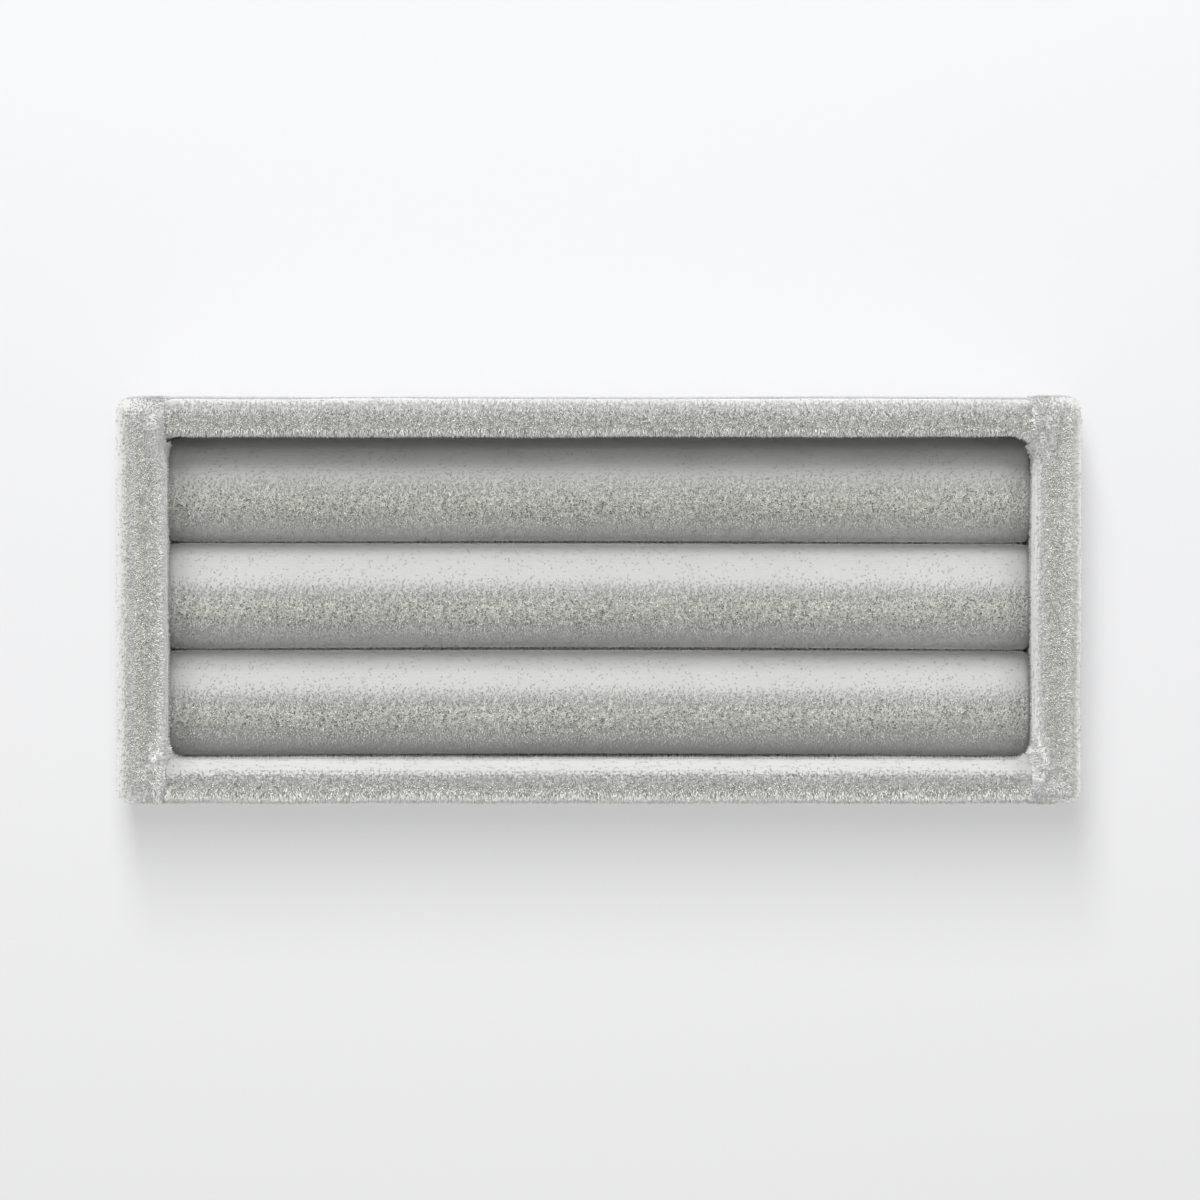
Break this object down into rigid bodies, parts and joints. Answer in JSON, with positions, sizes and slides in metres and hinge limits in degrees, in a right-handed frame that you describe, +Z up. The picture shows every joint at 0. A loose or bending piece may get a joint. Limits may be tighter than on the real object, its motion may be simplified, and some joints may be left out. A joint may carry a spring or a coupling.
{
  "type": "ring tray",
  "caption": "Shallow rectangular jewelry tray wrapped in plush velvet, with parallel foam ring rolls on a lift-out card insert.",
  "frame": {"origin": "middle of the underside, on the surface that the tray stands on", "axes": "+X along the rolls to the right, +Y towards the back of the tray (the top of the picture), +Z up"},
  "size_m": [0.2, 0.084, 0.03],
  "materials": {
    "velvet": "plush velvet pile, matt, with a soft sheen at grazing angles",
    "roll_velvet": "short plush velvet pile stretched over foam",
    "lining_cloth": "thin flocked lining",
    "underside_cloth": "flocked sheet, matt",
    "board": "raw fibreboard",
    "card": "grey card",
    "foam": "open-cell foam"
  },
  "bodies": {
    "tray": {"base_board": "board", "wall_board_left": "board", "wall_board_right": "board", "wall_board_back": "board", "wall_board_front": "board", "end_wrap_left": "velvet", "end_wrap_right": "velvet", "rim_wrap_back": "velvet", "rim_wrap_front": "velvet", "floor_lining": "lining_cloth", "underside_sheet": "underside_cloth"},
    "ring_insert": {"insert_card": "card", "foam_core_back": "foam", "foam_core_middle": "foam", "foam_core_front": "foam", "roll_cover_back": "roll_velvet", "roll_cover_middle": "roll_velvet", "roll_cover_front": "roll_velvet"}
  },
  "joints": [
    {"name": "insert_lift", "type": "slide", "parent": "tray", "child": "ring_insert", "axis": [0, 0, 1], "range_m": [0, 0.04]}
  ]
}
